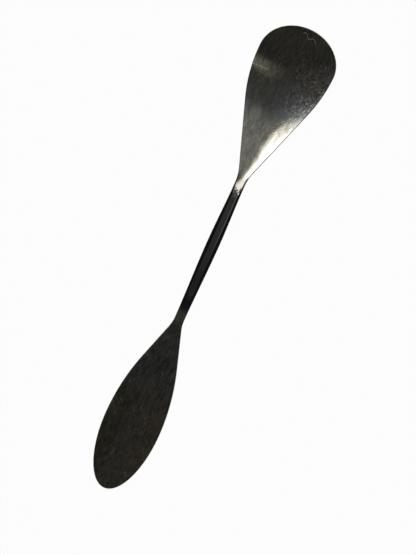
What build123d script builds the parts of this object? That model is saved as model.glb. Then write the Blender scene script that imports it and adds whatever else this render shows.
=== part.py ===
from build123d import *
import math
import os

# A double-ended lab spatula, forged and ground from one bar of stainless steel.
# +X runs along the tool to the tip of the bowl and +Z is up. The origin is under the middle of the length.
# The flat leaf blade and the lowest place of the bowl touch the plane z = 0, as on a bench.

# Lengths along the tool
leaf_length = 66.4  # leaf tip to leaf neck
handle_length = 52.6  # leaf neck to bowl neck
bowl_length = 61.0  # bowl neck to bowl tip

# Leaf blade
leaf_width = 21.0
leaf_tip_length = 25.0  # tip to the widest place
leaf_bend_share = 0.888  # how much of its flank is bent and not straight
leaf_neck_radius = 12.0
leaf_neck_width = 3.64
leaf_tip_thickness = 0.8
leaf_neck_thickness = 1.2

# Handle
handle_width = 4.64
handle_thickness = 3.2
handle_swell_share = 0.563  # leaf neck to the widest and thickest place
handle_arch_drop = 0.295  # by which its long top and underside close in towards the leaf
handle_axis_height = 2.1

# Slopes from the handle down to the leaf
crown_reach = 8.8  # leaf neck to the end of the handle's long top
crown_radius = 17.5  # where the top turns down
ramp_angle = 15.0  # of the top
ramp_foot_radius = 5.0
belly_angle = 5.0  # of the underside
belly_radius = 20.0  # of the two soft turns of the underside

# Bevels along the four long edges of the handle
handle_flat_width = 1.95  # what they leave of the top and underside, at the widest place
handle_side_height = 1.45  # what they leave of the sides there
bevel_end_reach = 1.0  # end of the straight bevel to the bowl neck
bevel_wheel_radius = 30.0  # of the run-out at both ends

# Bowl in plan
bowl_width = 29.0
bowl_tip_length = 12.35  # widest place to the tip
bowl_bend_share = 0.715  # how much of its flank is bent and not straight
bowl_neck_radius = 17.9
bowl_neck_width = 3.76
bowl_turn = -2.5  # the head sits a little askew
bowl_turn_reach = 25.3  # tip to the point that the head is turned about

# Dish of the bowl, a hollow turned about an axis that climbs from the neck to the tip
bowl_wall = 1.0
bowl_floor_reach = 34.0  # neck to the lowest place
bowl_floor_radius = 170.0
dish_axis_neck_height = 15.0
dish_axis_wide_height = 67.0
groove_reach = 5.0  # how far the dish runs into the handle as a groove
groove_radius = 8.0  # of the soft edge between groove and handle

# Rounding of the rims of leaf and bowl
rim_radius = 0.3
rim_touch_share = 0.01
upright_share = 0.5

# How far tools reach past the metal
overrun = 4.0

# Places along the tool
total_length = leaf_length + handle_length + bowl_length
leaf_tip_x = -total_length / 2
bowl_tip_x = total_length / 2
leaf_neck_x = leaf_tip_x + leaf_length
bowl_neck_x = bowl_tip_x - bowl_length
swell_x = leaf_neck_x + handle_swell_share * handle_length
crown_x = leaf_neck_x + crown_reach
groove_x = bowl_neck_x - groove_reach
floor_x = bowl_neck_x + bowl_floor_reach
handle_top = handle_axis_height + handle_thickness / 2
handle_underside = handle_axis_height - handle_thickness / 2
arch_radius = ((swell_x - crown_x) ** 2 + handle_arch_drop**2) / (2 * handle_arch_drop)


def arc_about(centre, start, end):
    """The shorter arc from start to end about a centre."""
    radius = (start - centre).length
    middle = ((start - centre) + (end - centre)).normalized() * radius
    return ThreePointArc(start, centre + middle, end)


def closed_face(curves):
    """The flat face inside a closed chain of curves."""
    return Face(Wire([edge for curve in curves for edge in curve.edges()]))


# Plan outline

def polar(centre, radius, degrees):
    """The point of the XY plane at a distance and an angle from a centre."""
    angle = math.radians(degrees)
    return centre + Vector(radius * math.cos(angle), radius * math.sin(angle))


def inner_tangent(shoulder, shoulder_radius, neck, neck_radius, turn_sign):
    """The ends of the straight flank that crosses over from a shoulder circle to a neck circle."""
    span = neck - shoulder
    lean = math.degrees(math.acos((shoulder_radius + neck_radius) / span.length))
    angle = math.degrees(math.atan2(span.Y, span.X)) + turn_sign * lean
    return polar(shoulder, shoulder_radius, angle), polar(neck, -neck_radius, angle)


def shoulder_radius(flank_length, flank_rise, bend_share, neck_radius):
    """The shoulder that, with the neck, bends a share of the flank and leaves the rest straight."""
    both_radii = (flank_length**2 + flank_rise**2) / (2 * flank_rise)
    return bend_share * both_radii - neck_radius


def leaf_flank(side):
    """One edge of the leaf, from its widest place to its neck: shoulder, straight flank, neck."""
    flank_rise = (leaf_width - leaf_neck_width) / 2
    radius = shoulder_radius(leaf_length - leaf_tip_length, flank_rise, leaf_bend_share, leaf_neck_radius)
    widest = Vector(leaf_tip_x + leaf_tip_length, side * leaf_width / 2)
    shoulder = widest - Vector(0, side * radius)
    neck_end = Vector(leaf_neck_x, side * leaf_neck_width / 2)
    neck = neck_end + Vector(0, side * leaf_neck_radius)
    near, far = inner_tangent(shoulder, radius, neck, leaf_neck_radius, side)
    return [arc_about(shoulder, widest, near), Line(near, far), arc_about(neck, far, neck_end)]


def handle_side(side):
    """One edge of the handle in plan: a slow swell between the two necks."""
    along = Vector(1, 0)
    points = [
        Vector(leaf_neck_x, side * leaf_neck_width / 2),
        Vector(swell_x, side * handle_width / 2),
        Vector(bowl_neck_x, side * bowl_neck_width / 2),
    ]
    return Spline(*points, tangents=[along, along, along])


def turned(point):
    """A point of the bowl's head, turned about the middle of the head."""
    pivot = Vector(bowl_tip_x - bowl_turn_reach, 0)
    return pivot + (point - pivot).rotate(Axis.Z, bowl_turn)


def bowl_flank(side):
    """One edge of the bowl, from its neck to its widest place: neck, straight flank, shoulder."""
    flank_rise = (bowl_width - bowl_neck_width) / 2
    radius = shoulder_radius(bowl_length - bowl_tip_length, flank_rise, bowl_bend_share, bowl_neck_radius)
    widest = Vector(bowl_tip_x - bowl_tip_length, side * bowl_width / 2)
    shoulder = turned(widest - Vector(0, side * radius))
    neck_end = Vector(bowl_neck_x, side * bowl_neck_width / 2)
    neck = neck_end + Vector(0, side * bowl_neck_radius)
    near, far = inner_tangent(shoulder, radius, neck, bowl_neck_radius, -side)
    return [arc_about(neck, neck_end, far), Line(far, near), arc_about(shoulder, near, turned(widest))]


def plan_outline():
    """The closed outline of the whole tool, seen from above."""
    leaf_middle = Vector(leaf_tip_x + leaf_tip_length, 0)
    bowl_middle = turned(Vector(bowl_tip_x - bowl_tip_length, 0))
    edges = [
        EllipticalCenterArc(leaf_middle, leaf_tip_length, leaf_width / 2, 90, arc_size=180),
        EllipticalCenterArc(
            bowl_middle, bowl_tip_length, bowl_width / 2, -90, arc_size=180, rotation=bowl_turn
        ),
    ]
    for side in (1, -1):
        edges += leaf_flank(side) + [handle_side(side)] + bowl_flank(side)
    return Wire(edges)


# Side profiles of leaf and handle

def side_point(x, z):
    """A point of the tool's upright middle plane."""
    return Vector(x, 0, z)


def side_extrusion(curves):
    """A closed side profile, carried across the whole width of the tool."""
    half_width = max(leaf_width, bowl_width) / 2 + overrun
    return extrude(closed_face(curves), half_width, dir=(0, 1, 0), both=True)


def arch_drop(x):
    """How far the handle's long arch has left the level of its middle at x."""
    return arch_radius - math.sqrt(arch_radius**2 - (x - swell_x) ** 2)


def long_arch(level, bend):
    """The handle's long arch, bent down (1) at the top or up (-1) at the underside, its ends and lean."""
    past_groove = groove_x + 2 * groove_reach
    near = side_point(crown_x, level - bend * arch_drop(crown_x))
    far = side_point(past_groove, level - bend * arch_drop(past_groove))
    lean = bend * math.asin((swell_x - crown_x) / arch_radius)
    return ThreePointArc(near, side_point(swell_x, level), far), near, far, lean


def turn_down(arch_end, lean, radius, angle):
    """The arc that turns a long arch down towards the leaf, from the arch's own lean to a slope."""
    slope = math.radians(angle)
    centre = arch_end + side_point(radius * math.sin(lean), -radius * math.cos(lean))
    end = centre + side_point(-radius * math.sin(slope), radius * math.cos(slope))
    return arc_about(centre, end, arch_end), end


def slope_to_leaf(slope_start, angle, leaf_height, leaf_rise, foot_radius):
    """The straight slope down to the leaf's face, rounded at its foot, and the face out past the tip."""
    fall = math.tan(math.radians(angle))
    face_height = leaf_height + leaf_rise * (slope_start.X - leaf_tip_x)
    run = (slope_start.Z - face_height) / (fall - leaf_rise)
    foot = slope_start - side_point(run, run * fall)
    face_end = side_point(leaf_tip_x - overrun, leaf_height - leaf_rise * overrun)
    return FilletPolyline(face_end, foot, slope_start, radius=foot_radius), face_end


def below_top():
    """Everything under the tool's top: leaf, ramp, crown, long arch, and room for the bowl."""
    arch, near, far, lean = long_arch(handle_top, 1)
    crown, ramp_start = turn_down(near, lean, crown_radius, ramp_angle)
    leaf_rise = (leaf_neck_thickness - leaf_tip_thickness) / leaf_length
    ramp, start = slope_to_leaf(ramp_start, ramp_angle, leaf_tip_thickness, leaf_rise, ramp_foot_radius)
    finish = side_point(bowl_tip_x + overrun, handle_top + overrun)
    lowest = -overrun
    rest = Polyline(far, finish, side_point(finish.X, lowest), side_point(start.X, lowest), start)
    return side_extrusion([ramp, crown, arch, rest])


def above_underside():
    """Everything over the underside of leaf and handle, as far as the bowl's neck."""
    arch, near, far, lean = long_arch(handle_underside, -1)
    heel, belly_start = turn_down(near, lean, belly_radius, belly_angle)
    belly, start = slope_to_leaf(belly_start, belly_angle, 0, 0, belly_radius)
    highest = handle_top + overrun
    rest = Polyline(far, side_point(far.X, highest), side_point(start.X, highest), start)
    return side_extrusion([belly, heel, arch, rest])


# Bowl

def dish_form(depth_below_floor, start):
    """A turned body of the dish's form: straight from start, then tangent to the floor's arc."""
    lowest = side_point(floor_x, bowl_wall - depth_below_floor)
    radius = bowl_floor_radius + depth_below_floor
    centre = lowest + side_point(0, radius)
    to_start = start - centre
    angle = math.atan2(to_start.Z, to_start.X) + math.acos(radius / to_start.length)
    touch = centre + side_point(radius * math.cos(angle), radius * math.sin(angle))
    end_x = bowl_tip_x + overrun
    end = side_point(end_x, centre.Z - math.sqrt(radius**2 - (end_x - centre.X) ** 2))
    axis_foot = side_point(bowl_neck_x, dish_axis_neck_height)
    axis_head = side_point(bowl_tip_x - bowl_tip_length, dish_axis_wide_height)
    climb = (axis_head.Z - axis_foot.Z) / (axis_head.X - axis_foot.X)
    axis_start = side_point(start.X, axis_foot.Z + climb * (start.X - axis_foot.X))
    axis_end = side_point(end.X, axis_foot.Z + climb * (end.X - axis_foot.X))
    inside = Polyline(end, axis_end, axis_start, start)
    section = closed_face([Line(start, touch), arc_about(centre, touch, end), inside])
    return revolve(section, Axis(axis_foot, axis_head - axis_foot))


def dish_inside():
    """The hollow of the bowl, which starts as a groove in the handle's top."""
    return dish_form(0, side_point(groove_x, handle_top - arch_drop(groove_x)))


def dish_outside():
    """The bowl's outer form, one wall under the hollow, which starts at the handle's underside."""
    return dish_form(bowl_wall, side_point(groove_x, handle_underside + arch_drop(groove_x)))


# Edges

def groove_edges(body):
    """The two edges where the handle's long top and underside run into the dish."""
    def crosses_middle(edge):
        middle = edge @ 0.5
        return abs(middle.Y) < rim_radius and abs(middle.X - groove_x) < rim_radius

    return [edge for edge in body.edges() if crosses_middle(edge)]


def rim_edges(body, outline):
    """Every edge that runs along the tool's outline, round the top and round the underside."""
    def on_rim(edge):
        middle = edge @ 0.5
        gap = outline.distance_to(Vertex(middle.X, middle.Y, 0))
        return gap < rim_radius * rim_touch_share and abs((edge % 0.5).Z) < upright_share

    return [edge for edge in body.edges() if on_rim(edge)]


def bevel(side, face):
    """The metal ground off one long edge of the handle, with a wheel's run-out at both ends."""
    cut_across = (handle_width - handle_flat_width) / 2
    cut_down = (handle_thickness - handle_side_height) / 2
    outward = Vector(0, side * cut_down, face * cut_across).normalized()
    distance = Vector(0, side * handle_flat_width, face * handle_thickness).dot(outward) / 2
    run_out = bevel_wheel_radius / 2
    rise = bevel_wheel_radius - math.sqrt(bevel_wheel_radius**2 - run_out**2)
    bowl_end_x = bowl_neck_x - bevel_end_reach

    def spot(x, height):
        return Vector(x, 0, handle_axis_height) + outward * (distance + height)

    leaf_end = spot(crown_x, 0)
    bowl_end = spot(bowl_end_x, 0)
    leaf_out = spot(crown_x - run_out, rise)
    bowl_out = spot(bowl_end_x + run_out, rise)
    curves = [
        arc_about(spot(crown_x, bevel_wheel_radius), leaf_out, leaf_end),
        Line(leaf_end, bowl_end),
        arc_about(spot(bowl_end_x, bevel_wheel_radius), bowl_end, bowl_out),
        Line(bowl_out, leaf_out),
    ]
    across = Vector(1, 0, 0).cross(outward)
    return extrude(closed_face(curves), handle_width, dir=across, both=True)


# The whole tool

def spatula():
    """The forged blank, cut to its outline, dished, rounded at its rims and bevelled at the handle."""
    outline = plan_outline()
    plan = extrude(Pos(0, 0, -overrun) * Face(outline), handle_top + 2 * overrun)
    blank = (above_underside() + dish_outside()) & below_top() & plan
    body = blank - dish_inside()
    body = fillet(groove_edges(body), groove_radius)
    body = fillet(rim_edges(body, outline), rim_radius)
    for side in (1, -1):
        for face in (1, -1):
            body -= bevel(side, face)
    return body


os.makedirs("parts", exist_ok=True)
export_step(spatula(), "parts/spatula.step")
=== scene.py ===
import math

import bmesh
import bpy
import numpy as np
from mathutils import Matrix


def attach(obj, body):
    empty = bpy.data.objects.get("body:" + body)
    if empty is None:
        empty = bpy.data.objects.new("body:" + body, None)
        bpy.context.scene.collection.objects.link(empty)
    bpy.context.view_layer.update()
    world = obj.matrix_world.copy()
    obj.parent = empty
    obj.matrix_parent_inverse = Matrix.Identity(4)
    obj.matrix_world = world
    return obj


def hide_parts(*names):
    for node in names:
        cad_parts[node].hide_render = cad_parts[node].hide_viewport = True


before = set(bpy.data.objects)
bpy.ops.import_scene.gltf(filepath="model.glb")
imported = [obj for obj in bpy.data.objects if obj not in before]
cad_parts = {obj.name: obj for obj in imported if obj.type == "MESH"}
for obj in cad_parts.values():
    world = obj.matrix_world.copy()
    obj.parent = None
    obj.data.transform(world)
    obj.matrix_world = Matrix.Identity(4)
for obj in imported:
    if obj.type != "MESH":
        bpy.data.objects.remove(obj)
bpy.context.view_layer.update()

# The spatula's body is one bar of stainless steel: forged flat into a leaf at one end, drawn to a slim
# bevelled handle, and dished into a teardrop bowl at the other. It is ground to its outline and its rims
# are rounded by hand. Lengths here are in millimetres and angles in degrees, as on a drawing.
leaf_length, handle_length, bowl_length = 66.4, 52.6, 61.0
leaf_width, leaf_tip_length, leaf_neck_width, leaf_neck_radius = 21.0, 25.0, 3.64, 12.0
bowl_width, bowl_tip_length, bowl_neck_width, bowl_neck_radius = 29.0, 12.35, 3.76, 17.9
leaf_bend_share, bowl_bend_share = 0.888, 0.715
handle_width, swell_share = 4.64, 0.563
bowl_turn, bowl_turn_reach = -2.5, 25.3
bend_points, straight_points, hollow_points = 50, 26, 36
leaf_tip_points, handle_points, bowl_tip_points = 70, 190, 80
leaf_tip_x = -(leaf_length + handle_length + bowl_length) / 2
leaf_neck_x = leaf_tip_x + leaf_length
bowl_neck_x = leaf_neck_x + handle_length
bowl_tip_x = bowl_neck_x + bowl_length
swell_x = leaf_neck_x + swell_share * handle_length


def arc(centre, radii, start, end, count, turn=0.0):
    """Points at even angles, in degrees, on an ellipse with two radii, turned about its centre."""
    angle = np.radians(np.linspace(start, end, count))
    lean = math.radians(turn)
    along, across = radii[0] * np.cos(angle), radii[1] * np.sin(angle)
    x = centre[0] + along * math.cos(lean) - across * math.sin(lean)
    y = centre[1] + along * math.sin(lean) + across * math.cos(lean)
    return np.column_stack((x, y))


def flank(wide_x, wide_y, neck_x, neck_y, neck_radius, bend_share, turned, turn):
    """An edge from a blade's widest place to its neck: an arc, a straight run tangent to both, and an arc.

    The two radii together are a share of the sum that would leave no straight run between the arcs.
    """
    length, rise = abs(neck_x - wide_x), wide_y - neck_y
    radius = bend_share * (length**2 + rise**2) / (2 * rise) - neck_radius
    shoulder = turned((wide_x, wide_y - radius))
    neck = (neck_x, neck_y + neck_radius)
    span_x, span_y = neck[0] - shoulder[0], neck[1] - shoulder[1]
    way = math.copysign(1, span_x)
    lean = math.degrees(math.acos((radius + neck_radius) / math.hypot(span_x, span_y)))
    angle = math.degrees(math.atan2(span_y, span_x)) + way * lean
    bend = arc(shoulder, (radius, radius), 90 + turn, angle, bend_points)
    hollow = arc(neck, (neck_radius, neck_radius), angle + 180, 270, hollow_points)
    straight = np.linspace(bend[-1], hollow[0], straight_points)
    return np.concatenate((bend, straight[1:], hollow[1:]))


def half_outline(turn):
    """The edge on the +Y side, from the leaf's tip to the bowl's, with the bowl's head turned by an angle.

    Both tips are quarter ellipses. Along the handle the half width goes from neck to swell and back to the
    other neck as a cubic with level ends.
    """
    cosine, sine = math.cos(math.radians(turn)), math.sin(math.radians(turn))
    pivot_x = bowl_tip_x - bowl_turn_reach

    def turned(point):
        return (
            pivot_x + (point[0] - pivot_x) * cosine - point[1] * sine,
            (point[0] - pivot_x) * sine + point[1] * cosine,
        )

    leaf_wide_x = leaf_tip_x + leaf_tip_length
    leaf_tip = arc((leaf_wide_x, 0), (leaf_tip_length, leaf_width / 2), 180, 90, leaf_tip_points)
    leaf_edge = flank(
        leaf_wide_x, leaf_width / 2, leaf_neck_x, leaf_neck_width / 2, leaf_neck_radius, leaf_bend_share,
        lambda point: point, 0,
    )
    x = np.linspace(leaf_neck_x, bowl_neck_x, handle_points)
    reach = np.where(x < swell_x, swell_x - leaf_neck_x, bowl_neck_x - swell_x)
    neck_width = np.where(x < swell_x, leaf_neck_width, bowl_neck_width)
    away = np.abs(x - swell_x) / reach
    width = handle_width + (neck_width - handle_width) * away**2 * (3 - 2 * away)
    handle_edge = np.column_stack((x, width / 2))
    bowl_wide_x = bowl_tip_x - bowl_tip_length
    bowl_edge = flank(
        bowl_wide_x, bowl_width / 2, bowl_neck_x, bowl_neck_width / 2, bowl_neck_radius, bowl_bend_share,
        turned, turn,
    )[::-1]
    bowl_centre, bowl_radii = turned((bowl_wide_x, 0)), (bowl_tip_length, bowl_width / 2)
    bowl_tip = arc(bowl_centre, bowl_radii, 90, 0, bowl_tip_points, turn)
    return np.concatenate((leaf_tip, leaf_edge[1:], handle_edge[1:], bowl_edge[1:], bowl_tip[1:]))


# The heights of the steel above the bench: leaf, ramp and arched handle, the turned dish of the bowl, and
# the four bevels that are ground along the handle and run out as far as the wheel's round lets them.
leaf_tip_thickness, leaf_neck_thickness = 0.8, 1.2
handle_thickness, handle_axis_height, handle_arch_drop = 3.2, 2.1, 0.295
crown_reach, crown_radius, crown_ease, ramp_angle, ramp_foot_radius = 8.8, 17.5, 2.2, 15.0, 1.5
belly_angle, belly_radius = 5.0, 20.0
handle_flat_width, handle_side_height, bevel_end_reach, bevel_wheel_radius = 1.95, 1.45, 1.0, 30.0
bevel_ease_reach, bevel_ease_length = 2.0, 9.0
bowl_wall, bowl_floor_reach, bowl_floor_radius = 1.0, 34.0, 170.0
dish_axis_neck_height, dish_axis_wide_height, dish_steps = 15.0, 67.0, 24
groove_reach, groove_blend, arris_blend, overrun = 5.0, 0.05, 0.04, 4.0
run_off_slope = 2.0  # by which a face climbs out of the way where it has ended
crown_x = leaf_neck_x + crown_reach
groove_x = bowl_neck_x - groove_reach
floor_x = bowl_neck_x + bowl_floor_reach
handle_top = handle_axis_height + handle_thickness / 2
handle_underside = handle_axis_height - handle_thickness / 2
arch_radius = ((swell_x - crown_x) ** 2 + handle_arch_drop**2) / (2 * handle_arch_drop)
bevel_lean = math.atan2(handle_thickness - handle_side_height, handle_width - handle_flat_width)
bevel_level = (handle_flat_width * math.sin(bevel_lean) + handle_thickness * math.cos(bevel_lean)) / 2


def soft_min(first, second, blend):
    """The lower of two heights, with a parabola for the crease where they differ by less than blend."""
    near = np.maximum(blend - np.abs(first - second), 0) / blend
    return np.minimum(first, second) - near**2 * blend / 4


def soft_max(first, second, blend):
    """The higher of two heights, with its crease rounded in the same way."""
    return -soft_min(-first, -second, blend)


def arch_fall(x):
    """How far the handle's long arch has left the level of its middle: a very flat circle's sagitta."""
    return arch_radius - np.sqrt(arch_radius**2 - np.minimum(np.abs(x - swell_x), arch_radius) ** 2)


def sloped(x, level, bend, turn_radius, angle, leaf_level, foot_radius):
    """A long side profile: the arch, a slope tangent to it by an arc, and the leaf's face by another arc.

    The arch bends down at the top (bend 1) and up at the underside (-1). A crease of slope step m that is
    rounded with radius r is a soft minimum over a blend of r m m / 2.
    """
    fall = math.tan(math.radians(angle))
    arch_slope = bend * (swell_x - crown_x) / arch_radius
    corner_x = crown_x - turn_radius * math.tan((math.radians(angle) - math.atan(arch_slope)) / 2)
    corner_z = level - bend * arch_fall(crown_x) - arch_slope * (crown_x - corner_x)
    slope = corner_z + fall * (x - corner_x)
    crease = crown_ease * turn_radius * (fall - arch_slope) ** 2 / 2
    arched = soft_min(level - bend * arch_fall(x), slope, crease)
    return soft_max(arched, leaf_level, foot_radius * fall**2 / 2)


def dish(x, y, below, start_z):
    """The height of the dish, or of its outside one wall below: a line and an arc, turned about an axis.

    A point is brought round the sloping axis into the middle plane. Its height is moved until it lies on
    the profile there, which leaves the groove's start as a straight line and meets the floor's arc at a
    tangent.
    """
    radius = bowl_floor_radius + below
    centre_z = bowl_wall - below + radius
    to_start = math.hypot(groove_x - floor_x, start_z - centre_z)
    touch = math.atan2(start_z - centre_z, groove_x - floor_x) + math.acos(radius / to_start)
    touch_x, touch_z = floor_x + radius * math.cos(touch), centre_z + radius * math.sin(touch)
    steep = (touch_z - start_z) / (touch_x - groove_x)
    climb = math.atan2(
        dish_axis_wide_height - dish_axis_neck_height, bowl_tip_x - bowl_tip_length - bowl_neck_x
    )
    z = np.full_like(x, bowl_wall)
    for step in range(dish_steps):
        along = (x - bowl_neck_x) * math.cos(climb) + (z - dish_axis_neck_height) * math.sin(climb)
        under = (x - bowl_neck_x) * math.sin(climb) - (z - dish_axis_neck_height) * math.cos(climb)
        reach = np.hypot(under, y)
        plane_x = bowl_neck_x + along * math.cos(climb) + reach * math.sin(climb)
        plane_z = dish_axis_neck_height + along * math.sin(climb) - reach * math.cos(climb)
        floor = centre_z - np.sqrt(radius**2 - np.minimum(np.abs(plane_x - floor_x), radius) ** 2)
        z = z + np.where(plane_x < touch_x, touch_z + steep * (plane_x - touch_x), floor) - plane_z
    return z


def bevel_depth(x):
    """How far a bevel lies from the handle's axis: down with the arch, then away along the wheel's circle.

    Towards the bowl it leaves the arch by a smooth step, so that the flat between the bevels widens there.
    """
    bowl_end_x = bowl_neck_x - bevel_end_reach
    past = np.maximum(np.maximum(crown_x - x, x - bowl_end_x), 0)
    on_wheel = np.minimum(past, bevel_wheel_radius / 2)
    lifted = bevel_wheel_radius - np.sqrt(bevel_wheel_radius**2 - on_wheel**2)
    lifted = lifted + run_off_slope * (past - on_wheel)
    follow = np.clip((bowl_neck_x + bevel_ease_reach - x) / bevel_ease_length, 0, 1)
    sunk = follow**2 * (3 - 2 * follow) * arch_fall(np.maximum(x, crown_x)) * math.cos(bevel_lean)
    return bevel_level - sunk + lifted


def bevel_height(x, y):
    """How far a bevel's face lies above or below the handle's axis, at a place across it."""
    return (bevel_depth(x) - np.abs(y) * math.sin(bevel_lean)) / math.cos(bevel_lean)


def top_height(x, y, rounding):
    """The upper face: leaf and handle, hollowed by the dish, less the rim's rounding, under the bevels."""
    leaf = leaf_tip_thickness + (leaf_neck_thickness - leaf_tip_thickness) * (x - leaf_tip_x) / leaf_length
    long_top = sloped(x, handle_top, 1, crown_radius, ramp_angle, leaf, ramp_foot_radius)
    past_groove = groove_x + 2 * groove_reach
    past_z = handle_top - arch_fall(past_groove)
    lift = (handle_top + overrun - past_z) / (bowl_tip_x + overrun - past_groove)
    long_top = np.where(x > past_groove, past_z + lift * (x - past_groove), long_top)
    hollow = dish(np.maximum(x, groove_x), y, 0, handle_top - arch_fall(groove_x))
    hollow = hollow + run_off_slope * np.maximum(groove_x - x, 0)
    face = soft_min(long_top, hollow, groove_blend) - rounding
    return soft_min(face, handle_axis_height + bevel_height(x, y), arris_blend)


def underside_height(x, y, rounding):
    """The lower face: bench level under the leaf, the arched handle, and the outside of the dish."""
    bench = np.zeros_like(x)
    long_under = sloped(x, handle_underside, -1, belly_radius, belly_angle, bench, belly_radius)
    shell = dish(np.maximum(x, groove_x), y, bowl_wall, handle_underside + arch_fall(groove_x))
    shell = shell + run_off_slope * np.maximum(groove_x - x, 0)
    face = soft_min(long_under, shell, groove_blend) + rounding
    return soft_max(face, handle_axis_height - bevel_height(x, y), arris_blend)


# The skin joins both faces by rims rounded by hand. It carries how far round each rim a point lies, and how
# near the right edge, for the painted shade laid there.
metre = 1000.0
rim_radius, rim_angles, rim_shade_angle, right_edge_band = 0.2, (14, 30, 46, 62, 78, 90), 45, 0.3
flat_columns, bevel_columns = 16, 12
least_arris_share, most_arris_share = 0.35, 0.8
weld_distance = 1e-7


def steel_skin():
    """The whole closed surface as loops round the tool, one for each pair of points on its two edges.

    A loop crosses the top from the left edge to the right one, goes round the right rim, back across the
    underside and round the left rim. A rim point at angle a from the face lies r (1 - sin a) inside the
    outline and r (1 - cos a) off the face. One column on each side follows the handle's arris.
    """
    left, right = half_outline(bowl_turn), half_outline(-bowl_turn) * (1, -1)
    ring = np.concatenate((left, right[-2:0:-1]))
    heading = np.roll(ring, -1, 0) - np.roll(ring, 1, 0)
    inward = np.column_stack((heading[:, 1], -heading[:, 0])) / np.linalg.norm(heading, axis=1)[:, None]
    count = len(left)
    left_in = inward[:count]
    right_in = np.concatenate((inward[:1], inward[count:][::-1], inward[count - 1:count]))
    inner_left, inner_right = left + rim_radius * left_in, right + rim_radius * right_in
    middle, half = (inner_left + inner_right) / 2, (inner_left - inner_right) / 2

    x = middle[:, 0]
    arris = bevel_depth(x) - (handle_top - arch_fall(x) - handle_axis_height) * math.cos(bevel_lean)
    arris_share = arris / math.sin(bevel_lean) / np.maximum(half[:, 1], rim_radius)
    arris_share = np.clip(arris_share, least_arris_share, most_arris_share)[:, None]
    step = np.arange(flat_columns + bevel_columns, 0, -1)
    outer = arris_share + (1 - arris_share) * (step - flat_columns) / bevel_columns
    share = np.where(step > flat_columns, outer, arris_share * step / flat_columns)
    share = np.concatenate((share, np.zeros((count, 1)), -share[:, ::-1]), axis=1)
    across = middle[:, None] + share[:, :, None] * half[:, None]

    angle = np.radians(rim_angles)
    inset, rounding = rim_radius * (1 - np.sin(angle)), rim_radius * (1 - np.cos(angle))
    left_rim = left[:, None] + inset[None, :, None] * left_in[:, None]
    right_rim = right[:, None] + inset[None, :, None] * right_in[:, None]
    plan = np.concatenate(
        (across, right_rim, right_rim[:, ::-1], across[:, ::-1], left_rim, left_rim[:, ::-1]), axis=1
    )
    level = np.zeros(across.shape[1])
    rounded = np.concatenate((level, rounding, rounding[::-1], level, rounding, rounding[::-1]))
    top_part = len(level) + len(angle)
    x, y = plan[:, :, 0], plan[:, :, 1]
    loop = np.arange(plan.shape[1])
    on_top = (loop < top_part) | (loop >= plan.shape[1] - len(angle))
    z = np.where(on_top, top_height(x, y, rounded), underside_height(x, y, rounded))
    points = np.dstack((x, y, z)) / metre

    here = np.arange(count * plan.shape[1]).reshape(count, plan.shape[1])
    beside = np.roll(here, -1, 1)
    faces = np.stack((here[:-1], beside[:-1], beside[1:], here[1:]), axis=-1).reshape(-1, 4)
    mesh = bpy.data.meshes.new("spatula_body")
    mesh.from_pydata(points.reshape(-1, 3).tolist(), [], faces.tolist())
    round_rim = np.minimum(np.degrees(angle) / rim_shade_angle, 1)
    clean = 0 * round_rim
    rim = np.tile(np.concatenate((level, round_rim, clean, level, clean, round_rim[::-1])), count)
    mesh.attributes.new("rim", "FLOAT", "POINT").data.foreach_set("value", rim)
    from_right = (1 + share) * np.linalg.norm(half, axis=1)[:, None]
    right_edge = np.zeros(plan.shape[:2])
    right_edge[:, :across.shape[1]] = np.clip(1 - from_right / right_edge_band, 0, 1)
    mesh.attributes.new("right_edge", "FLOAT", "POINT").data.foreach_set("value", right_edge.ravel())

    shell = bmesh.new()
    shell.from_mesh(mesh)
    bmesh.ops.remove_doubles(shell, verts=shell.verts, dist=weld_distance)
    bmesh.ops.recalc_face_normals(shell, faces=shell.faces)
    shell.to_mesh(mesh)
    shell.free()
    mesh.polygons.foreach_set("use_smooth", np.ones(len(mesh.polygons), bool))
    body = bpy.data.objects.new("spatula_body", mesh)
    bpy.context.collection.objects.link(body)
    return body


body = steel_skin()
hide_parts("spatula")
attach(body, "root")
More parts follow.
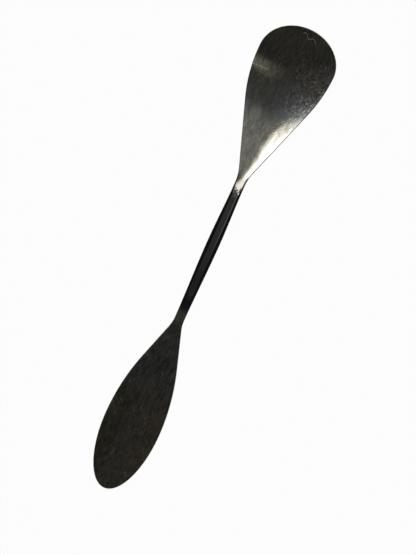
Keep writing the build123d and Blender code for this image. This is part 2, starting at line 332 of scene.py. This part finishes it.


# The finish is stainless steel brushed along the tool by hand and dulled by years of use: olive and brown
# films on the leaf, an etched right side to the bowl, painted shade on the bevels, the neck and the rims,
# and on top of them smears and specks of dried powder, a fibre, stray scratches and a painted highlight
# along the handle's right arris.
class Signal:
    """An output of a node tree. Arithmetic on signals and numbers adds Math nodes."""

    def __init__(self, tree, socket=None):
        self.tree = tree
        self.socket = socket

    def node(self, kind, settings=None, inputs=None, output=0):
        """Adds a node, sets its settings, feeds its inputs with values or signals and gives one output."""
        made = self.tree.nodes.new(kind)
        for name, value in (settings or {}).items():
            if name == "stops":
                while len(made.color_ramp.elements) < len(value):
                    made.color_ramp.elements.new(0.5)
                for element, (place, colour) in zip(made.color_ramp.elements, value):
                    element.position = place
                    element.color = colour
            else:
                setattr(made, name, value)
        for name, value in (inputs or {}).items():
            if isinstance(value, Signal):
                self.tree.links.new(value.socket, made.inputs[name])
            else:
                made.inputs[name].default_value = value
        return Signal(self.tree, made.outputs[output] if made.outputs else None)

    def maths(self, operation, first, second=0.0):
        """A Math node on one or two signals or numbers."""
        return self.node("ShaderNodeMath", {"operation": operation}, {0: first, 1: second})

    def __add__(self, other):
        return self.maths("ADD", self, other)

    def __sub__(self, other):
        return self.maths("SUBTRACT", self, other)

    def __rsub__(self, other):
        return self.maths("SUBTRACT", other, self)

    def __mul__(self, other):
        return self.maths("MULTIPLY", self, other)

    def __truediv__(self, other):
        return self.maths("DIVIDE", self, other)

    __radd__ = __add__
    __rmul__ = __mul__

    def size(self):
        return self.maths("ABSOLUTE", self)

    def most(self, other):
        return self.maths("MAXIMUM", self, other)

    def least(self, other):
        return self.maths("MINIMUM", self, other)

    def ramp(self, low, high):
        """0 up to low and 1 from high on, or falling where high is the smaller, with soft ends."""
        first, last = (0.0, 1.0) if low < high else (1.0, 0.0)
        span = {"From Min": min(low, high), "From Max": max(low, high), "To Min": first, "To Max": last}
        return self.node("ShaderNodeMapRange", {"interpolation_type": "SMOOTHSTEP"}, {"Value": self, **span})

    def tint(self, first, second):
        """The first colour where this signal is 0 and the second where it is 1."""
        kind = {"data_type": "RGBA", "clamp_factor": True}
        return self.node("ShaderNodeMix", kind, {0: self, 6: first, 7: second}, 2)


def blank_tree(owner):
    """The node tree of a material or a world, emptied."""
    owner.use_nodes = True
    owner.node_tree.nodes.clear()
    return Signal(owner.node_tree)


steel = bpy.data.materials.new("brushed_steel")
tree = blank_tree(steel)
place = tree.node("ShaderNodeTexCoord", output=3)
millimetres = tree.node("ShaderNodeVectorMath", {"operation": "SCALE"}, {0: place, "Scale": metre})
x, y, z = [
    tree.node("ShaderNodeSeparateXYZ", inputs={"Vector": millimetres}, output=axis) for axis in range(3)
]
rim, right_edge = [
    tree.node("ShaderNodeAttribute", {"attribute_name": name}, output=2) for name in ("rim", "right_edge")
]


def pattern(cell, turn, detail, roughness=0.5, shift=(0.0, 0.0, 0.0)):
    """Noise with cells of a size in millimetres along and across the tool, turned in plan by an angle."""
    per_cell = (1 / cell[0], 1 / cell[1], 1 / cell[1])
    put = {"Vector": millimetres, "Rotation": (0, 0, math.radians(turn)), "Location": shift}
    turned = tree.node("ShaderNodeMapping", None, put)
    scaled = tree.node("ShaderNodeVectorMath", {"operation": "MULTIPLY"}, {0: turned, 1: per_cell})
    grain = {"Vector": scaled, "Scale": 1.0, "Detail": detail, "Roughness": roughness}
    return tree.node("ShaderNodeTexNoise", None, grain)


def scratched(cell, turn, patch, shift=(0.0, 0.0, 0.0), patch_shift=(0.0, 0.0, 0.0)):
    """Thin lines where a stretched noise peaks, kept to patches where a broad, even one is high."""
    lines = pattern(cell, turn, 1.0, 0.5, shift).ramp(0.65, 0.71)
    return lines * pattern((patch, patch), 0.0, 1.0, 0.5, patch_shift).ramp(0.5, 0.6)


fine_lines = pattern((14.0, 0.25), 0.0, 3.0, 0.6)
broad_lines = pattern((24.0, 0.9), 0.0, 2.0)
mottle = pattern((3.2, 1.5), 0.0, 5.0, 0.66, (3.0, 11.0, 0.0))
stains = pattern((16.0, 7.0), 12.0, 3.0, 0.55)
long_scratches = scratched((9.0, 0.2), 9.0, 5.0)
stray_scratches = scratched((4.0, 0.22), -38.0, 6.0, (2.0, 5.0, 0.0), (9.0, 30.0, 0.0))
grit = pattern((0.6, 0.5), 0.0, 3.0, 0.6, (1.0, 2.0, 0.0))
crumbs = pattern((1.4, 0.9), 35.0, 5.0, 0.75, (4.0, 7.0, 0.0))
pits = pattern((0.7, 0.55), 20.0, 3.0, 0.6, (6.0, 4.0, 0.0))
patina = pattern((2.6, 0.7), 7.0, 5.0, 0.7, (8.0, 3.0, 0.0))
blotches = pattern((2.6, 1.6), 24.0, 2.0, 0.6, (5.0, 1.0, 0.0))

# Where each finish lies. Ramps on x, y and z are in millimetres along the tool, across it and up.
pit_trace = 0.08
arris_ease_x, arris_half_width, arris_flare, shade_flare = 22.0, 0.975, 0.007, 0.0025
shade_streak_y, shade_front_lean, shade_ragged = -1.05, 0.7, 6.0
on_leaf = x.ramp(-25.0, -32.0)
on_handle = x.ramp(-23.5, -20.0) * x.ramp(28.0, 25.0)
in_bowl = x.ramp(46.0, 52.0)
on_top = z.ramp(2.75, 3.0)
right_side = y.ramp(2.0, -5.0)
worn = on_leaf.most(x.ramp(62.0, 74.0))
pitted = in_bowl * (pit_trace + (1 - pit_trace) * right_side * x.ramp(88.0, 74.0))
etched = pitted * x.ramp(56.0, 62.0)
streaked = worn * (0.5 - 0.35 * pitted)
past_ease = (x - arris_ease_x).most(0.0)
flare = past_ease * past_ease
arris = arris_half_width + flare * arris_flare
past_arris = y.size() - arris + flare * y.ramp(0.2, -0.2) * shade_flare
# Painted shade: the handle's bevels darkened nearly to black as their dark reflection, and blacker still
# towards the neck.
painted_bevel_shade = past_arris.ramp(0.0, 0.08) * x.ramp(-19.0, -15.0) * x.ramp(33.0, 31.0) * z.ramp(2.3, 2.6)
olive_patches = x.ramp(-48.0, -60.0) * y.ramp(1.0, 5.0) * (0.3 + 0.5 * stains.ramp(0.4, 0.6))
brown_patches = x.ramp(-50.0, -60.0) * y.ramp(2.0, -4.0) * (0.2 + 0.6 * stains.ramp(0.6, 0.4))
# Painted shade: a dark grey over the groove at the neck, which dims the reflection there.
groove_painted_shade = x.ramp(37.0, 31.0) * x.ramp(25.0, 26.0) * on_top
# Painted shade: near-black on the neck's top, as a streak and a ragged front, where the reflection turns
# dark at the end of the highlight.
shade_streak = (y - shade_streak_y).size().ramp(0.42, 0.2) * x.ramp(28.6, 27.2)
shade_front = (x - shade_front_lean * y + (grit - 0.5) * shade_ragged).ramp(27.4, 26.3)
neck_painted_shade = shade_front.most(shade_streak) * x.ramp(24.9, 25.6) * on_top
# Painted shade: a thin dark line along the bowl's right edge near the neck, in place of the edge's dark
# reflection.
right_edge_painted_shade = right_edge.most(rim) * y.ramp(-1.0, -2.0) * x.ramp(27.0, 29.0) * x.ramp(58.0, 46.0)

pale_steel = (0.62, 0.615, 0.565, 1.0)
dull_steel = (0.37, 0.365, 0.32, 1.0)
blued_steel = (0.37, 0.37, 0.385, 1.0)
olive_film = (0.50, 0.475, 0.33, 1.0)
dark_olive_film = (0.36, 0.345, 0.23, 1.0)
brown_film = (0.64, 0.50, 0.37, 1.0)
blue_film = (0.58, 0.61, 0.67, 1.0)
# near-black for the painted shade at the neck and at the bevels' ends
painted_black_shade = (0.02, 0.02, 0.02, 1.0)
chalk = (0.66, 0.64, 0.51, 1.0)
ash = (0.66, 0.66, 0.64, 1.0)
# dark grey for the painted shade in the groove at the neck
groove_shade_grey = (0.225, 0.22, 0.195, 1.0)
dark_patina = (0.12, 0.115, 0.09, 1.0)
bright_patina = (0.88, 0.86, 0.79, 1.0)
etch_shine = (0.76, 0.78, 0.82, 1.0)
bevel_shade_black = (0.05, 0.05, 0.053, 1.0)
rim_painted_shade = (0.10, 0.10, 0.10, 1.0)
edge_shade_grey = (0.062, 0.066, 0.074, 1.0)

# How much of each film and painted shade lies on the brushed steel, from the lowest to the topmost.
films = (
    (on_handle * 0.75, blued_steel),
    (x.ramp(66.0, 82.0) * 0.6, olive_film),
    (x.ramp(-46.0, -58.0) * 0.5, olive_film),
    (olive_patches, dark_olive_film),
    (brown_patches, brown_film),
    (right_side * x.ramp(54.0, 60.0) * x.ramp(72.0, 60.0) * 0.75, blue_film),
    (on_leaf * blotches.ramp(0.63, 0.72) * 0.6, dark_olive_film),
    (streaked * patina.ramp(0.52, 0.38), dark_patina),
    (streaked * patina.ramp(0.52, 0.68), bright_patina),
    (etched * pits.ramp(0.46, 0.38) * 0.75, dark_patina),
    (etched * pits.ramp(0.54, 0.64) * 0.8, etch_shine),
    (groove_painted_shade, groove_shade_grey),
    (neck_painted_shade, painted_black_shade),
    (painted_bevel_shade, bevel_shade_black),
    # painted shade: the rounded rims darkened, so that they show dark instead of reflecting the bright floor
    (rim * 0.8, rim_painted_shade),
    (right_edge_painted_shade, edge_shade_grey),
    (painted_bevel_shade * x.ramp(24.0, 27.5), painted_black_shade),
)
brushed = (mottle * 0.55 + fine_lines * 0.2 + grit * 0.25).ramp(0.40, 0.60)
colour = brushed.tint(dull_steel, pale_steel)
for amount, film in films:
    colour = amount.tint(colour, film)

# Dried powder, a fibre, scratches and a painted highlight along the handle's right arris, each as thick as
# it is dull and pale.
smudge_x, smudge_y, smudge_length, smudge_width, smudge_strength = 54.9, 5.2, 3.2, 2.2, 0.11
fibre_x, fibre_lean, fibre_strength = 87.5, 0.25, 0.3
fibre_start, fibre_bend, fibre_swing = 1.22, -1.864, 0.62
cross_scratch_x, cross_scratch_lean, cross_scratch_strength = 71.3, 0.05, 0.8
arris_highlight_inset, arris_highlight_strength = 0.08, 0.15
long_strength, stray_strength, bowl_scratch_share = 0.07, 0.12, 0.12
leaf_foot_x, foot_dust_strength, speck_strength = -25.3, 0.03, 0.1
chalkiness, ashiness = 6.0, 8.0
smudge_along, smudge_across = (x - smudge_x) / smudge_length, (y - smudge_y) / smudge_width
smudge_away = smudge_along * smudge_along + smudge_across * smudge_across
smudge = smudge_away.ramp(1.6, 0.1) * mottle.ramp(0.2, 0.6) * smudge_strength
fibre_wave = tree.maths("SINE", (y - fibre_start) * fibre_bend) * fibre_swing
fibre_away = (x - (fibre_x + fibre_lean * y) - fibre_wave).size()
fibre = fibre_away.ramp(0.26, 0.05) * y.ramp(1.7, 1.3) * y.ramp(-4.6, -4.2) * fibre_strength
cross_away = (x - (cross_scratch_x - cross_scratch_lean * y)).size()
cross_scratch = cross_away.ramp(0.24, 0.05) * y.ramp(6.5, 9.0) * grit.ramp(0.3, 0.5) * cross_scratch_strength
# Painted highlight: a pale, dull line along the handle's right arris, where the strip of light glints on it.
arris_away = (y + arris - arris_highlight_inset).size()
arris_painted_highlight = arris_away.ramp(0.26, 0.06) * x.ramp(-4.0, 12.0) * x.ramp(26.4, 25.0) * arris_highlight_strength
crumbled = crumbs.ramp(0.50, 0.70) * pitted
scratches = long_scratches * long_strength + stray_scratches * stray_strength
scratches = scratches * (bowl_scratch_share * in_bowl).most(worn)
foot_dust = (x - leaf_foot_x).size().ramp(0.9, 0.2) * foot_dust_strength
residue = smudge
for mark in (fibre, cross_scratch, arris_painted_highlight, crumbled * speck_strength, scratches, foot_dust):
    residue = residue.most(mark)
colour = (residue * chalkiness).tint(colour, chalk)
colour = (smudge * ashiness).tint(colour, ash)
metal = 1.0 - residue

polish, leaf_dulling, tip_dulling, residue_dulling, etch_dulling = 0.04, 0.05, 0.05, 0.6, 0.055
tip_mottle = x.ramp(58.0, 66.0) * mottle.ramp(0.45, 0.75)
roughness = polish + leaf_dulling * on_leaf + tip_dulling * tip_mottle
roughness = roughness + residue_dulling * residue + etch_dulling * etched

# The relief, in millimetres: brushing, pits and scratches, and the groove at the neck, which steepens from a
# rounded knee and then with the fourth power of the way along it.
broad_relief, fine_relief, crumb_relief, scratch_relief = 0.008, 0.003, 0.0025, 0.03
knee_x, knee_length, knee_round, knee_slope = 48.0, 22.0, 3.0, 0.0125
steepening_x, steepening_length, steepening = 46.5, 21.0, 2.6e-6
millimetre = 1 / metre
knee = (knee_x - x).most(0.0).least(knee_length)
knee_bend = knee.least(knee_round)
knee_rise = knee_bend * knee_bend / (2 * knee_round) + knee - knee_bend
groove_run = (steepening_x - x).most(0.0).least(steepening_length)
groove_square = groove_run * groove_run
relief = broad_lines * broad_relief + fine_lines * fine_relief - crumbled * crumb_relief
relief = relief - scratches * scratch_relief + knee_rise * knee_slope
relief = relief + groove_square * groove_square * steepening
grain = tree.node("ShaderNodeBump", None, {"Strength": 1.0, "Distance": millimetre, "Height": relief})
finish = {"Base Color": colour, "Roughness": roughness, "Metallic": metal, "Normal": grain}
shader = tree.node("ShaderNodeBsdfPrincipled", None, finish)
tree.node("ShaderNodeOutputMaterial", None, {"Surface": shader})
body.data.materials.append(steel)

# The bench is a sheet of plain white card, wide enough to fill the picture, with the tool lying on it. It
# looks white to the camera and in the steel, and keeps a little of the tool's shadow.
floor_width, card_whiteness = 3.0, 0.97
card_grey, card_white = (0.82, 0.82, 0.82, 1.0), (1.0, 1.0, 1.0, 1.0)
corner = floor_width / 2
corners = [(-corner, -corner, 0), (corner, -corner, 0), (corner, corner, 0), (-corner, corner, 0)]
floor_mesh = bpy.data.meshes.new("white_card")
floor_mesh.from_pydata(corners, [], [(0, 1, 2, 3)])
floor = bpy.data.objects.new("white_card", floor_mesh)
bpy.context.collection.objects.link(floor)
card = bpy.data.materials.new("white_card")
sheet = blank_tree(card)
seen, shiny, through = [sheet.node("ShaderNodeLightPath", output=ray) for ray in (0, 3, 6)]
matt = sheet.node("ShaderNodeBsdfDiffuse", None, {"Color": card_grey})
white = sheet.node("ShaderNodeEmission", None, {"Color": card_white, "Strength": 1.0})
whitened = seen.most(shiny).most(through) * card_whiteness
paper = sheet.node("ShaderNodeMixShader", None, {0: whitened, 1: matt, 2: white})
sheet.node("ShaderNodeOutputMaterial", None, {"Surface": paper})
floor_mesh.materials.append(card)

# The light is a dim room with a softbox past the bowl's end. The feathered edge of its fabric, and then its
# lamp, cross the tool a little askew, and a faint narrow strip lies to the right of the bowl. A stop is a
# direction's slope along the tool and the light from there.
softbox_strength, sweep_from, sweep_to, sweep_least_aside, least_up = 2.4, -0.7, 0.5, -0.5, 0.05
room_stops = (
    (-0.66, 0.064, 0.061, 0.052), (-0.57, 0.056, 0.053, 0.046), (-0.48, 0.018, 0.019, 0.021),
    (-0.33, 0.012, 0.0135, 0.017), (-0.20, 0.028, 0.029, 0.030), (-0.14, 0.038, 0.038, 0.038),
    (-0.05, 0.031, 0.031, 0.031), (0.0, 0.044, 0.044, 0.044), (0.05, 0.058, 0.058, 0.058),
    (0.10, 0.063, 0.063, 0.063), (0.14, 0.08, 0.08, 0.082), (0.17, 0.12, 0.12, 0.122),
    (0.19, 0.165, 0.165, 0.165), (0.21, 0.21, 0.21, 0.205), (0.24, 0.26, 0.26, 0.25),
    (0.30, 0.28, 0.28, 0.26),
)
fabric_stops = (
    (0.26, 0.0, 0.0, 0.0), (0.28, 0.45, 0.43, 0.37), (0.292, 0.92, 0.89, 0.80), (0.31, 1.05, 1.0, 0.9),
)
lamp_stops = (
    (0.305, 0.0, 0.0, 0.0), (0.315, 0.8, 0.8, 0.78), (0.325, 1.9, 1.9, 1.9), (0.345, 2.4, 2.4, 2.4),
)
wall_light = (0.045, 0.045, 0.043, 1.0)
strip_light, strip_lean, strip_slope = (0.062, 0.062, 0.048, 1.0), 0.1, 0.002
horizon_light = (0.07, 0.07, 0.068, 1.0)
world = bpy.data.worlds.new("dim_room")
bpy.context.scene.world = world
room = blank_tree(world)
way = {"Vector": room.node("ShaderNodeTexCoord", output=0)}
along, across, up = [room.node("ShaderNodeSeparateXYZ", inputs=way, output=axis) for axis in range(3)]
tall = up.most(least_up)
ahead, aside = along / tall, across / tall


def sweep(stops, lean, reach, offset=0.0):
    """Light that changes along the tool, with its edges turned by a lean across it as far as a reach."""
    near_aside = aside.most(sweep_least_aside).least(reach)
    span = sweep_to - sweep_from
    levels = [
        ((stop[0] - sweep_from) / span, tuple(part / softbox_strength for part in stop[1:]) + (1.0,))
        for stop in stops
    ]
    place = (ahead + lean * near_aside - offset - sweep_from) / span
    return room.node("ShaderNodeValToRGB", {"stops": levels}, {"Fac": place})


def added(amount, base, light):
    """A light's colour, times an amount from 0 to 1, on top of what is there."""
    kind = {"data_type": "RGBA", "blend_type": "ADD"}
    return room.node("ShaderNodeMix", kind, {0: amount, 6: base, 7: light}, 2)


overhead = aside.size().ramp(1.3, 0.9) * ahead.ramp(0.8, 0.6) * ahead.ramp(-1.0, -0.8)
softbox = aside.size().ramp(1.1, 0.9) * ahead.ramp(0.55, 0.42)
strip = (ahead + strip_lean * aside - strip_slope).size().ramp(0.032, 0.018)
strip = strip * aside.ramp(0.05, -0.45) * aside.ramp(-0.9, -0.7)
horizon = ahead.size().ramp(1.0, 1.7).most(up.ramp(0.2, 0.08))
lamp_offset = 0.04 * aside.ramp(0.235, 0.30)
lit = overhead.tint(wall_light, sweep(room_stops, lean=0.1, reach=0.65))
lit = added(softbox, lit, sweep(fabric_stops, lean=0.35, reach=0.29, offset=0.02))
lit = added(softbox, lit, sweep(lamp_stops, lean=0.25, reach=0.65, offset=lamp_offset))
lit = added(strip, lit, strip_light)
lit = added(horizon, lit, horizon_light)
sky = room.node("ShaderNodeBackground", None, {"Color": lit, "Strength": softbox_strength})
room.node("ShaderNodeOutputWorld", None, {"Surface": sky})

# The camera looks straight down from well above, turned so that the tool runs up the picture with its bowl
# at the upper right. Its lengths are in metres, apart from the sensor's.
camera_distance, picture_height, picture_level = 0.7, 0.1987, 0.002
camera_x, camera_y, camera_turn, sensor_height = -0.00592, -0.00326, -65.85, 24.0
camera = bpy.data.objects.new("camera", bpy.data.cameras.new("camera"))
bpy.context.collection.objects.link(camera)
camera.location = (camera_x, camera_y, picture_level + camera_distance)
camera.rotation_euler = (0.0, 0.0, math.radians(camera_turn))
camera.data.sensor_fit = "VERTICAL"
camera.data.sensor_height = sensor_height
camera.data.lens = sensor_height * camera_distance / picture_height
bpy.context.scene.camera = camera
bpy.context.scene.view_settings.view_transform = "Standard"
